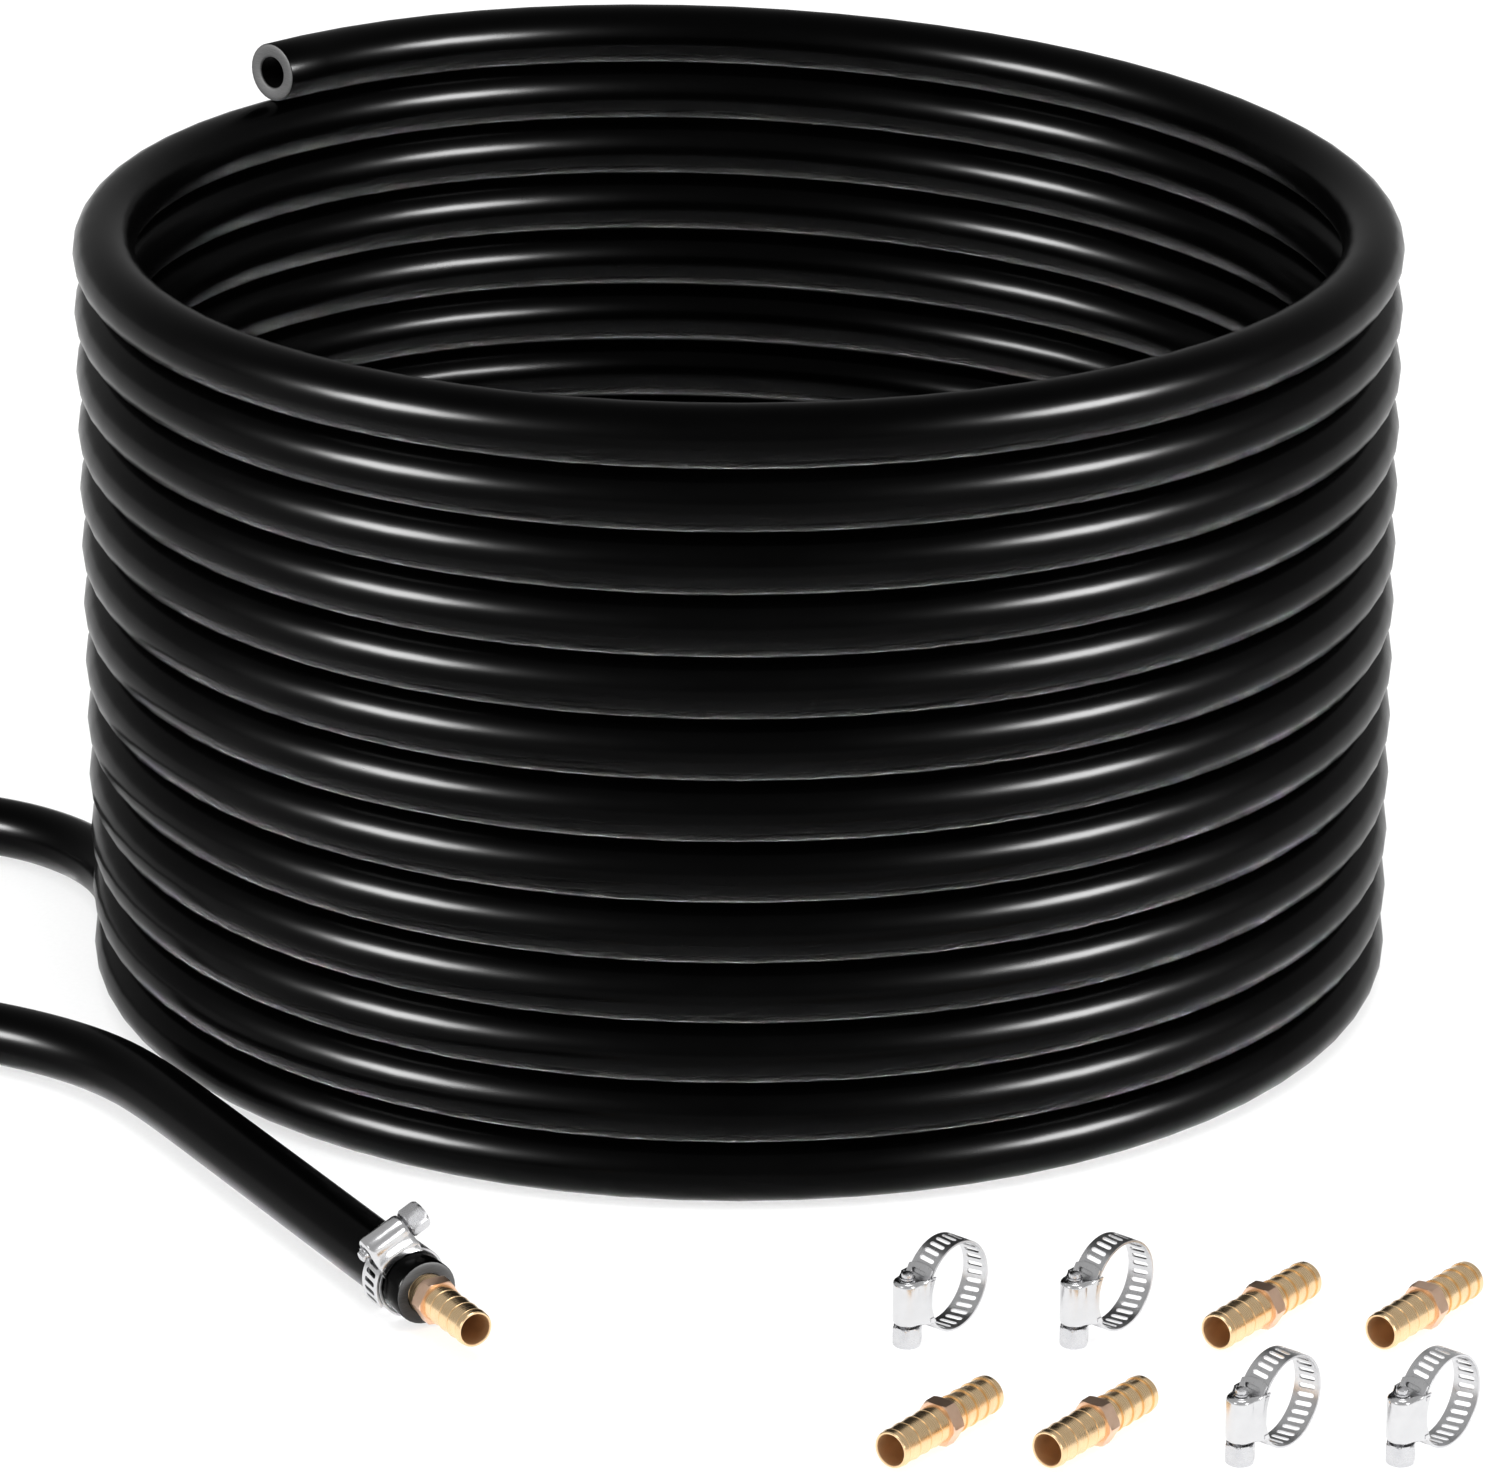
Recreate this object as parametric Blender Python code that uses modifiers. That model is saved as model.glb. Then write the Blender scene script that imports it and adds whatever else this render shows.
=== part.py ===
"""Rubber hose kit: a coil of plain black hose, worm-drive clamps and barbed brass splicers.

The front of each turn is level, and behind the coil it comes down by one diameter from left to right.
The hose's upper end is cut square at the back left, on top.  Its lower end leaves the bottom turn on the left,
loops round on the floor and comes forward to a clamp and a splicer.  Four more clamps stand and
four more splicers lie on the floor to the front right.  Metres, +Z up, floor at z = 0.
"""
import math

import bmesh
import bpy
from mathutils import Matrix, Vector

MM = 0.001

# Driving dimensions
HOSE_OD = 17.5 * MM
HOSE_BORE = 9.5 * MM
TURNS = 13
COIL_RADIUS = 180.0 * MM
COIL_CENTRE = Vector((70.91 * MM, 80.39 * MM, 0.0))
CUT_END_ANGLE = math.radians(140.5)
GAP = 0.3 * MM
FLOOR_CLEARANCE = 0.02 * MM

# Lower end of the hose, measured from the coil's centre
TAIL_HEADING = math.radians(-59.0)
OUTLET_LENGTH = 70.0 * MM
OUTLET_END = Vector((-81.8 * MM, -261.6 * MM, 0.0))
SOCKET_DEPTH = 24.0 * MM

# Worm-drive clamps
BAND_WIDTH = 8.0 * MM
BAND_THICKNESS = 0.65 * MM
SLOT_PITCH = 2.4 * MM
SLOT_WIDTH = 1.2 * MM
SLOT_LENGTH = 5.0 * MM
OPEN_BAND_RADIUS = 11.75 * MM
FITTED_BAND_RADIUS = HOSE_OD / 2 + GAP
SCREW_OFFSET = 3.5 * MM
SHAFT_RADIUS = 2.3 * MM
SHAFT_CLEARANCE = 0.45 * MM
HOUSING_LENGTH = 12.6 * MM
DOME_RADIUS = 3.9 * MM
SADDLE_WIDTH = 9.8 * MM
HEX_FLATS = 7.0 * MM
HEAD_LENGTH = 5.7 * MM
HEAD_GAP = 0.4 * MM
TIP_LENGTH = 2.2 * MM
TIP_RADIUS = 1.6 * MM
FITTED_CLAMP_SETBACK = 12.0 * MM
FITTED_CLAMP_ROLL = math.radians(25.0)

# Barbed splicers
SPLICER_LENGTH = 42.0 * MM
SPLICER_BORE = 8.4 * MM
BARB_CREST = 5.1 * MM
BARB_ROOT = 4.7 * MM
BARB_PITCH = 4.5 * MM
TIP_RING_LENGTH = 2.2 * MM
NUT_FLATS = 11.2 * MM
NUT_LENGTH = 4.3 * MM
SPLICER_EXPOSED_NECK = 3.0 * MM

# Loose pieces: place on the floor, measured from the coil's centre
OPEN_CLAMP_PLACES = ((54.2, -260.7), (97.7, -260.7), (136.7, -330.0), (177.2, -330.0))
SPLICER_PLACES = ((137.0, -260.7), (179.7, -260.7), (50.9, -330.0), (90.4, -330.0))
OPEN_CLAMP_HEADING = math.radians(49.0)
SPLICER_HEADING = math.radians(52.0)

OBJECT_NAME = "rubber_hose_kit"
COIL_STEPS = 40
BAND_STEPS = 48
TURNED_STEPS = 16
TAIL_SPACING = 2.0 * HOSE_OD
LEAVE_RING_ANGLE = math.radians(28.2)
LOOP_RADIUS = 75.0 * MM
LOOP_CENTRE = Vector((-255.0 * MM, 8.0 * MM, 0.0))
LOOP_END_ANGLE = math.radians(255.0)
RETURN_POINTS = (
    (-242, -73, 0.0), (-214, -83, 0.0), (-191, -96, 0.1), (-173, -112, 0.3), (-159, -133, 0.55), (-144, -158, 0.75),
)


# Scene set-up -------------------------------------------------------------------------------

def clear_scene():
    for obj in list(bpy.data.objects):
        bpy.data.objects.remove(obj, do_unlink=True)


def make_collection(name):
    collection = bpy.data.collections.new(name)
    bpy.context.scene.collection.children.link(collection)
    return collection


def make_material(name, colour, roughness, metallic):
    material = bpy.data.materials.new(name)
    material.use_nodes = True
    shader = material.node_tree.nodes["Principled BSDF"]
    shader.inputs["Base Color"].default_value = (*colour, 1.0)
    shader.inputs["Roughness"].default_value = roughness
    shader.inputs["Metallic"].default_value = metallic
    return material


clear_scene()
PARTS = make_collection(OBJECT_NAME)
CUTTERS = make_collection("cutters")
RUBBER = make_material("hose_rubber", (0.012, 0.012, 0.013), 0.28, 0.0)
STEEL = make_material("band_steel", (0.78, 0.79, 0.80), 0.28, 1.0)
PLATED = make_material("housing_steel", (0.80, 0.80, 0.82), 0.18, 1.0)
SCREW_STEEL = make_material("screw_steel", (0.74, 0.75, 0.77), 0.24, 1.0)
BRASS = make_material("splicer_brass", (0.83, 0.60, 0.30), 0.25, 1.0)


def add_object(name, data, material, collection=PARTS):
    obj = bpy.data.objects.new(name, data)
    collection.objects.link(obj)
    if material is not None:
        data.materials.append(material)
    return obj


def add_empty(name, matrix, parent=None):
    empty = bpy.data.objects.new(name, None)
    PARTS.objects.link(empty)
    empty.parent = parent
    empty.matrix_local = matrix
    return empty


def as_cutter(obj):
    obj.hide_render = True
    obj.display_type = "WIRE"
    return obj


def boolean(obj, tool, operation):
    modifier = obj.modifiers.new(operation.lower(), "BOOLEAN")
    modifier.operation = operation
    modifier.solver = "EXACT"
    modifier.object = tool
    return modifier


def set_smooth(obj, degrees=35.0):
    obj.data.shade_smooth()
    obj.data.set_sharp_from_angle(angle=math.radians(degrees))


# Shape helpers ------------------------------------------------------------------------------

def arc(centre, radius, start, end, steps):
    """Points of an arc as (across, up) pairs, from one angle in degrees to another."""
    points = []
    for i in range(steps + 1):
        angle = math.radians(start + (end - start) * i / steps)
        points.append((centre[0] + radius * math.cos(angle), centre[1] + radius * math.sin(angle)))
    return points


def turned(name, profile, steps, material, collection=PARTS, closed=True):
    """A profile of (radius, height) points turned about the object's own Z axis."""
    mesh = bpy.data.meshes.new(name)
    vertices = [(radius, 0.0, height) for radius, height in profile]
    edges = [(i, i + 1) for i in range(len(profile) - 1)]
    if closed:
        edges.append((len(profile) - 1, 0))
    mesh.from_pydata(vertices, edges, [])
    obj = add_object(name, mesh, material, collection)
    screw = obj.modifiers.new("turn", "SCREW")
    screw.axis = "Z"
    screw.steps = steps
    screw.render_steps = steps
    screw.use_merge_vertices = True
    screw.merge_threshold = 0.00005
    screw.use_smooth_shade = True
    return obj


def box(name, size, matrix, collection=CUTTERS):
    bm = bmesh.new()
    bmesh.ops.create_cube(bm, size=1.0)
    bm.transform(matrix @ Matrix.Diagonal((*size, 1.0)))
    mesh = bpy.data.meshes.new(name)
    bm.to_mesh(mesh)
    bm.free()
    return add_object(name, mesh, None, collection)


def prism(name, radius, length, sides, matrix, material=None, collection=CUTTERS):
    """A prism or cylinder about local Z, centred on the given matrix."""
    bm = bmesh.new()
    bmesh.ops.create_cone(bm, cap_ends=True, segments=sides, radius1=radius, radius2=radius, depth=length)
    bm.transform(matrix)
    mesh = bpy.data.meshes.new(name)
    bm.to_mesh(mesh)
    bm.free()
    return add_object(name, mesh, material, collection)


def basis(x_axis, y_axis, z_axis, place):
    matrix = Matrix.Identity(4)
    for column, axis in enumerate((x_axis, y_axis, z_axis)):
        matrix.col[column] = (*axis, 0.0)
    matrix.translation = place
    return matrix


def heading_vector(angle):
    return Vector((math.cos(angle), math.sin(angle), 0.0))


ALONG_X = Matrix.Rotation(math.radians(90.0), 4, "Y")
ALONG_Y = Matrix.Rotation(math.radians(-90.0), 4, "X")
UP = Vector((0.0, 0.0, 1.0))


# Hose ---------------------------------------------------------------------------------------

def coil_profile(turns):
    """Outline of the stacked turns: down the outside, then back up the inside."""
    radius = HOSE_OD / 2
    flat = 0.24 * radius
    top = turns * HOSE_OD
    outside = [(COIL_RADIUS + flat, top)]
    inside = [(COIL_RADIUS - flat, 0.0)]
    for turn in range(turns):
        height = top - (turn + 0.5) * HOSE_OD
        outside += arc((COIL_RADIUS, height), radius, 55.0, -55.0, 2)
    for turn in reversed(range(turns)):
        height = top - (turn + 0.5) * HOSE_OD
        inside += arc((COIL_RADIUS, height), radius, 235.0, 125.0, 2)
    outside.append((COIL_RADIUS + flat, 0.0))
    inside.append((COIL_RADIUS - flat, top))
    return outside + inside


def back_rise(across):
    """How far the back of a turn stands above its level front: nothing on the right, a diameter on the left."""
    return HOSE_OD * (1.0 - across / COIL_RADIUS) / 2


def space_above_turns(end, away, outward):
    """Three cutters: over the level front, over the sloping back, and beyond the cut end."""
    reach = COIL_RADIUS + HOSE_OD
    top = TURNS * HOSE_OD
    height = 2 * HOSE_OD
    front = box("front_space", (2 * reach, reach, height), Matrix.Translation((0.0, -reach / 2, top + height / 2)))
    back = box("back_space", (2 * reach, reach, height), Matrix.Translation((0.0, reach / 2 - GAP, top + height / 2)))
    for vertex in back.data.vertices:
        if vertex.co.z < top + height / 2:
            vertex.co.z = top + back_rise(vertex.co.x)
    beyond = box("space_beyond_end", (COIL_RADIUS, 6 * HOSE_OD, height), Matrix.Identity(4))
    middle = end + away * COIL_RADIUS / 2 - outward * 1.5 * HOSE_OD + UP * (top + GAP + height / 2)
    beyond.matrix_world = basis(away, outward * -1, UP, middle)
    return front, back, beyond


def make_coil():
    coil = turned("hose_coil", coil_profile(TURNS + 1), COIL_STEPS, RUBBER)
    outward = heading_vector(CUT_END_ANGLE)
    away = Vector((-math.sin(CUT_END_ANGLE), math.cos(CUT_END_ANGLE), 0.0))
    end = outward * COIL_RADIUS
    bore_depth = 18.0 * MM
    bore = prism("cut_end_bore", HOSE_BORE / 2, 2 * bore_depth, TURNED_STEPS, ALONG_X)
    bore.matrix_world = basis(away, outward * -1, UP, end + UP * cut_end_height())
    for cutter in (*space_above_turns(end, away, outward), bore):
        cutter.matrix_world = Matrix.Translation(COIL_CENTRE) @ cutter.matrix_world
        boolean(coil, as_cutter(cutter), "DIFFERENCE")
    coil.location = COIL_CENTRE
    return coil


def cut_end_height():
    return (TURNS - 0.5) * HOSE_OD + back_rise(COIL_RADIUS * math.cos(CUT_END_ANGLE))


def loop_points():
    """The loop beside the coil, from where it comes clear of the bottom turn."""
    count = 9
    points = []
    for i in range(count + 1):
        angle = LEAVE_RING_ANGLE + (LOOP_END_ANGLE - LEAVE_RING_ANGLE) * i / count
        points.append(LOOP_CENTRE + heading_vector(angle) * LOOP_RADIUS)
    return points


def smooth_route(points, spacing):
    """Evenly spaced points on a Catmull-Rom curve through the given ones."""
    padded = [2 * points[0] - points[1]] + points + [2 * points[-1] - points[-2]]
    fine = []
    for a, b, c, d in zip(padded, padded[1:], padded[2:], padded[3:]):
        for i in range(40):
            t = i / 40
            bend = 2 * a - 5 * b + 4 * c - d
            twist = 3 * b - 3 * c + d - a
            fine.append(0.5 * (2 * b + (c - a) * t + bend * t * t + twist * t ** 3))
    fine.append(points[-1].copy())
    lengths = [0.0]
    for first, second in zip(fine, fine[1:]):
        lengths.append(lengths[-1] + (second - first).length)
    count = max(2, round(lengths[-1] / spacing))
    route = []
    index = 0
    for i in range(count + 1):
        target = lengths[-1] * i / count
        while index < len(fine) - 2 and lengths[index + 1] < target:
            index += 1
        share = (target - lengths[index]) / (lengths[index + 1] - lengths[index])
        route.append(fine[index].lerp(fine[index + 1], min(max(share, 0.0), 1.0)))
    return route


def make_tail():
    """The stretch of hose on the floor, from the coil round to the straight lower end."""
    heading = heading_vector(TAIL_HEADING)
    low = HOSE_OD / 2 + FLOOR_CLEARANCE
    high = FITTED_BAND_RADIUS + BAND_THICKNESS
    points = [point + UP * low for point in loop_points()]
    points += [Vector((x * MM, y * MM, low + lift * MM)) for x, y, lift in RETURN_POINTS]
    points.append(OUTLET_END - heading * (OUTLET_LENGTH + GAP) + UP * high)
    curve = bpy.data.curves.new("hose_tail", "CURVE")
    curve.dimensions = "3D"
    curve.bevel_depth = HOSE_OD / 2
    curve.bevel_resolution = 2
    curve.use_fill_caps = True
    route = smooth_route(points, TAIL_SPACING)
    spline = curve.splines.new("POLY")
    spline.points.add(len(route) - 1)
    for point, place in zip(spline.points, route):
        point.co = (*place, 1.0)
    tail = add_object("hose_tail", curve, RUBBER)
    tail.location = COIL_CENTRE
    return tail


def make_outlet():
    """The straight lower end, with its bore stretched over the splicer's barbs."""
    bore = BARB_CREST + GAP
    outer = HOSE_OD / 2
    depth = SOCKET_DEPTH
    profile = [(0.0, -depth), (bore, -depth), (bore, 0.0), (outer, 0.0), (outer, -OUTLET_LENGTH)]
    profile.append((0.0, -OUTLET_LENGTH))
    outlet = turned("hose_outlet_end", profile, 24, RUBBER, closed=False)
    heading = heading_vector(TAIL_HEADING)
    height = FITTED_BAND_RADIUS + BAND_THICKNESS
    side = UP.cross(heading)
    outlet.matrix_world = basis(side, UP * -1, heading, COIL_CENTRE + OUTLET_END + UP * height)
    return outlet


# Worm-drive clamp, drawn about its ring: ring axis along Y, housing on +Z, screw head on +X ----

def cut_slots(strip, middle, angles, parent):
    """Row of worm slots through a curved strip, at angles from +Z towards +X."""
    bm = bmesh.new()
    size = Matrix.Diagonal((SLOT_WIDTH, SLOT_LENGTH, 3 * BAND_THICKNESS, 1.0))
    for angle in angles:
        turn = Matrix.Rotation(angle, 4, "Y") @ Matrix.Translation((0.0, 0.0, middle))
        bmesh.ops.create_cube(bm, size=1.0, matrix=turn @ size)
    mesh = bpy.data.meshes.new(strip.name + "_slots")
    bm.to_mesh(mesh)
    bm.free()
    slots = add_object(strip.name + "_slots", mesh, None, CUTTERS)
    slots.parent = parent
    boolean(strip, as_cutter(slots), "DIFFERENCE")


def make_band(name, radius, parent):
    half = BAND_WIDTH / 2
    outer = radius + BAND_THICKNESS
    band = turned(name, [(outer, half), (outer, -half), (radius, -half), (radius, half)], BAND_STEPS, STEEL)
    band.parent = parent
    band.matrix_local = ALONG_Y
    middle = radius + BAND_THICKNESS / 2
    count = int(2 * math.pi * middle / SLOT_PITCH)
    covered = math.asin(HOUSING_LENGTH / 2 / outer)
    angles = [2 * math.pi * (i + 0.5) / count for i in range(count)]
    cut_slots(band, middle, [angle for angle in angles if covered < angle < 2 * math.pi - covered], parent)
    return band


def make_free_end(name, radius, start, end, parent):
    """The end of the band that runs under the screw; angles go from the housing to the screw's tip."""
    inner = radius + BAND_THICKNESS + GAP
    half = BAND_WIDTH / 2
    bm = bmesh.new()
    corners = ((inner, half), (inner + BAND_THICKNESS, half), (inner + BAND_THICKNESS, -half), (inner, -half))
    vertices = [bm.verts.new((0.0, across, up)) for up, across in corners]
    bm.faces.new(vertices)
    bmesh.ops.rotate(bm, verts=bm.verts, cent=(0, 0, 0), matrix=Matrix.Rotation(-start, 3, "Y"))
    steps = max(6, round(math.degrees(end - start) / 7.5))
    geometry = bm.verts[:] + bm.edges[:] + bm.faces[:]
    bmesh.ops.spin(bm, geom=geometry, cent=(0, 0, 0), axis=(0, -1, 0), angle=end - start, steps=steps)
    bmesh.ops.recalc_face_normals(bm, faces=bm.faces[:])
    mesh = bpy.data.meshes.new(name)
    bm.to_mesh(mesh)
    bm.free()
    strip = add_object(name, mesh, STEEL)
    strip.parent = parent
    middle = inner + BAND_THICKNESS / 2
    pitch = SLOT_PITCH / middle
    count = int((end - start) / pitch - 0.5)
    cut_slots(strip, middle, [-(start + (i + 0.75) * pitch) for i in range(count)], parent)
    return strip


def housing_outline(radius, screw_height):
    """Section across the band: a dome over the screw, flaring to a saddle round the band."""
    half = SADDLE_WIDTH / 2
    bottom = radius * 0.72
    shoulder = radius + BAND_THICKNESS + 1.5 * MM
    neck = shoulder + 1.1 * MM
    dome = arc((0.0, screw_height), DOME_RADIUS, 0.0, 180.0, 10)
    right = [(half, bottom), (half, shoulder), (DOME_RADIUS, neck)]
    left = [(-DOME_RADIUS, neck), (-half, shoulder), (-half, bottom)]
    return right + dome + left


def make_housing(name, radius, parent):
    outer = radius + BAND_THICKNESS
    screw_height = outer + SCREW_OFFSET
    strip_outer = outer + GAP + BAND_THICKNESS
    bm = bmesh.new()
    start = -HOUSING_LENGTH / 2
    outline = housing_outline(radius, screw_height)
    section = bm.faces.new([bm.verts.new((start, across, up)) for across, up in outline])
    grown = bmesh.ops.extrude_face_region(bm, geom=[section])
    moved = [item for item in grown["geom"] if isinstance(item, bmesh.types.BMVert)]
    bmesh.ops.translate(bm, verts=moved, vec=(HOUSING_LENGTH, 0.0, 0.0))
    bmesh.ops.recalc_face_normals(bm, faces=bm.faces[:])
    mesh = bpy.data.meshes.new(name)
    bm.to_mesh(mesh)
    bm.free()
    housing = add_object(name, mesh, PLATED)
    housing.parent = parent
    saddle = prism(name + "_saddle", radius, 3 * BAND_WIDTH, BAND_STEPS, ALONG_Y)
    channel_width = BAND_WIDTH + 2 * GAP
    channel = prism(name + "_channel", strip_outer + GAP, channel_width, BAND_STEPS, ALONG_Y)
    place = Matrix.Translation((0.0, 0.0, screw_height)) @ ALONG_X
    bore = prism(name + "_bore", SHAFT_RADIUS + SHAFT_CLEARANCE, 2 * HOUSING_LENGTH, TURNED_STEPS, place)
    for cutter in (saddle, channel, bore):
        cutter.parent = parent
        boolean(housing, as_cutter(cutter), "DIFFERENCE")
    return housing


def make_screw(name, radius, parent):
    """Worm screw: hex head on +X, plain shaft through the housing, rounded tip on -X."""
    head_start = HOUSING_LENGTH / 2 + HEAD_GAP
    tip_start = -HOUSING_LENGTH / 2
    tip_end = tip_start - TIP_LENGTH
    nose = 0.6 * MM
    profile = [(0.0, head_start + 1.0 * MM), (SHAFT_RADIUS, head_start + 1.0 * MM), (SHAFT_RADIUS, tip_start)]
    profile += [(TIP_RADIUS, tip_start), (TIP_RADIUS, tip_end + nose), (TIP_RADIUS - nose, tip_end)]
    profile.append((0.0, tip_end))
    screw = turned(name, profile, TURNED_STEPS, SCREW_STEEL, closed=False)
    axle = add_empty(name + "_axis", Matrix.Translation((0, 0, radius + BAND_THICKNESS + SCREW_OFFSET)), parent)
    screw.parent = axle
    screw.matrix_local = ALONG_X
    middle = Matrix.Translation((head_start + HEAD_LENGTH / 2, 0, 0)) @ ALONG_X
    head = prism(name + "_head", HEX_FLATS / math.sqrt(3), HEAD_LENGTH, 6, middle)
    head.parent = axle
    boolean(screw, as_cutter(head), "UNION")
    return screw


def make_clamp(name, matrix, radius, strip_start, strip_end):
    ring = add_empty(name, matrix)
    make_band(name + "_band", radius, ring)
    make_free_end(name + "_free_end", radius, math.radians(strip_start), math.radians(strip_end), ring)
    make_housing(name + "_housing", radius, ring)
    make_screw(name + "_screw", radius, ring)


# Barbed splicer, drawn about its own Z axis ---------------------------------------------------

def splicer_half():
    """Outline of one barbed half, from the nut to the tip: each barb's step faces the nut."""
    end = SPLICER_LENGTH / 2
    step = end - TIP_RING_LENGTH - 3 * BARB_PITCH
    points = [(BARB_CREST, 0.0), (BARB_CREST, NUT_LENGTH / 2), (BARB_ROOT, step)]
    for _ in range(3):
        points += [(BARB_CREST, step), (BARB_ROOT, step + BARB_PITCH)]
        step += BARB_PITCH
    return points + [(BARB_CREST, step), (BARB_CREST - 0.25 * MM, end)]


def make_splicer(name, matrix):
    half = splicer_half()
    outside = [(radius, height) for radius, height in reversed(half)]
    outside += [(radius, -height) for radius, height in half[1:]]
    bore = SPLICER_BORE / 2
    end = SPLICER_LENGTH / 2
    splicer = turned(name, outside + [(bore, -end), (bore, end)], TURNED_STEPS, BRASS)
    splicer.matrix_world = matrix
    nut = prism(name + "_nut", NUT_FLATS / math.sqrt(3), NUT_LENGTH, 6, Matrix.Identity(4))
    hole = prism(name + "_nut_hole", bore + 0.25 * MM, 2 * NUT_LENGTH, TURNED_STEPS, Matrix.Identity(4))
    boolean(nut, as_cutter(hole), "DIFFERENCE")
    for cutter in (nut, hole):
        cutter.matrix_world = matrix
    boolean(splicer, as_cutter(nut), "UNION")
    return splicer


# Assembly -------------------------------------------------------------------------------------

def place_fitted_pieces():
    heading = heading_vector(TAIL_HEADING)
    side = Vector((-heading.y, heading.x, 0.0))
    height = UP * (FITTED_BAND_RADIUS + BAND_THICKNESS)
    housing_way = math.cos(FITTED_CLAMP_ROLL) * UP - math.sin(FITTED_CLAMP_ROLL) * side
    head_way = math.cos(FITTED_CLAMP_ROLL) * side + math.sin(FITTED_CLAMP_ROLL) * UP
    ring_place = COIL_CENTRE + OUTLET_END - heading * FITTED_CLAMP_SETBACK + height
    ring = basis(head_way, housing_way.cross(head_way), housing_way, ring_place)
    make_clamp("clamp_fitted", ring, FITTED_BAND_RADIUS, -5.0, 100.0)
    reach = NUT_LENGTH / 2 + SPLICER_EXPOSED_NECK
    splicer_place = COIL_CENTRE + OUTLET_END + heading * reach + height
    make_splicer("splicer_fitted", basis(UP, heading.cross(UP), heading, splicer_place))


def place_loose_pieces():
    along = heading_vector(OPEN_CLAMP_HEADING)
    standing = OPEN_BAND_RADIUS + BAND_THICKNESS
    for number, (x, y) in enumerate(OPEN_CLAMP_PLACES, 1):
        place = COIL_CENTRE + Vector((x * MM, y * MM, standing))
        ring = basis(UP * -1, (along * -1).cross(UP * -1), along * -1, place)
        make_clamp("clamp_%d" % number, ring, OPEN_BAND_RADIUS, -32.0, 42.0)
    lying = heading_vector(SPLICER_HEADING)
    for number, (x, y) in enumerate(SPLICER_PLACES, 1):
        place = COIL_CENTRE + Vector((x * MM, y * MM, NUT_FLATS / 2))
        make_splicer("splicer_%d" % number, basis(UP, lying.cross(UP), lying, place))


make_coil()
make_tail()
make_outlet()
place_fitted_pieces()
place_loose_pieces()
for part in PARTS.objects:
    if part.type == "MESH":
        set_smooth(part)
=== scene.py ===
import math

import bmesh
import bpy
from mathutils import Matrix, Vector


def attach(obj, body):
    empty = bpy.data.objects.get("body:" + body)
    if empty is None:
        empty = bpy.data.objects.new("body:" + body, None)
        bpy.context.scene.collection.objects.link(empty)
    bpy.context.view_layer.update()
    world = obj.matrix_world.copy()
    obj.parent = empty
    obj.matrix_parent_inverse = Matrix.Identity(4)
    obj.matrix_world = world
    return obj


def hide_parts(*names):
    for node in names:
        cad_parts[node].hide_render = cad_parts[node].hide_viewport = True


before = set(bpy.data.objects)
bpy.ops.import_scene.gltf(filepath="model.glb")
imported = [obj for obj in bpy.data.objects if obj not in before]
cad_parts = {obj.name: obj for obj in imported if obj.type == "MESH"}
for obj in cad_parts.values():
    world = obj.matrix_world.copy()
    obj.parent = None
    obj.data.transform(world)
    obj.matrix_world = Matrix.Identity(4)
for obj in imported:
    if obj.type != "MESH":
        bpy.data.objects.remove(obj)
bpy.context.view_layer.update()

MM = 0.001
UP = Vector((0.0, 0.0, 1.0))

# Sizes of the CAD model, in metres; an angle is in degrees unless math.radians wraps it
HOSE_OD = 17.5 * MM
HOSE_BORE = 9.5 * MM
TURNS = 13
COIL_RADIUS = 180.0 * MM
COIL_CENTRE = Vector((70.91 * MM, 80.39 * MM, 0.0))
CUT_END_ANGLE = 140.5
FLOOR_CLEARANCE = 0.02 * MM
TAIL_HEADING = math.radians(-59.0)
OUTLET_LENGTH = 70.0 * MM
OUTLET_END = Vector((-81.8 * MM, -261.6 * MM, 0.0))
OUTLET_BORE_RADIUS = 5.4 * MM
AXIS_HEIGHT = 9.7 * MM
BAND_WIDTH = 8.0 * MM
BAND_THICKNESS = 0.65 * MM
BAND_GAP = 0.3 * MM
SLOT_PITCH = 2.4 * MM
SLOT_WIDTH = 1.2 * MM
SLOT_LENGTH = 5.0 * MM
OPEN_BAND_RADIUS = 11.75 * MM
FITTED_BAND_RADIUS = HOSE_OD / 2 + BAND_GAP
SCREW_OFFSET = 3.5 * MM
HOUSING_LENGTH = 12.6 * MM
DOME_RADIUS = 3.9 * MM
SADDLE_WIDTH = 9.8 * MM
HEX_FLATS = 7.0 * MM
HEAD_LENGTH = 5.7 * MM
HEAD_GAP = 0.4 * MM
TIP_LENGTH = 2.2 * MM
TIP_RADIUS = 1.6 * MM
FITTED_CLAMP_SETBACK = 12.0 * MM
FITTED_CLAMP_ROLL = math.radians(25.0)
SPLICER_LENGTH = 42.0 * MM
SPLICER_BORE = 8.4 * MM
BARB_CREST = 5.1 * MM
BARB_ROOT = 4.7 * MM
BARB_PITCH = 4.5 * MM
TIP_RING_LENGTH = 2.2 * MM
NUT_FLATS = 11.2 * MM
NUT_LENGTH = 4.3 * MM
SPLICER_EXPOSED_NECK = 3.0 * MM
OPEN_CLAMP_PLACES = ((54.2, -260.7), (97.7, -260.7), (136.7, -330.0), (177.2, -330.0))
SPLICER_PLACES = ((137.0, -260.7), (179.7, -260.7), (50.9, -330.0), (90.4, -330.0))
OPEN_CLAMP_HEADING = math.radians(49.0)
SPLICER_HEADING = math.radians(52.0)
LOOP_RADIUS = 75.0 * MM
LOOP_CENTRE = Vector((-255.0 * MM, 8.0 * MM, 0.0))
LOOP_END_ANGLE = 255.0
RETURN_POINTS = (
    (-242, -73, 0.0), (-214, -83, 0.0), (-191, -96, 0.1),
    (-173, -112, 0.3), (-159, -133, 0.55), (-144, -158, 0.75),
)


def heading_vector(angle):
    return Vector((math.cos(angle), math.sin(angle), 0.0))


# Camera ---------------------------------------------------------------------------------------

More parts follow.
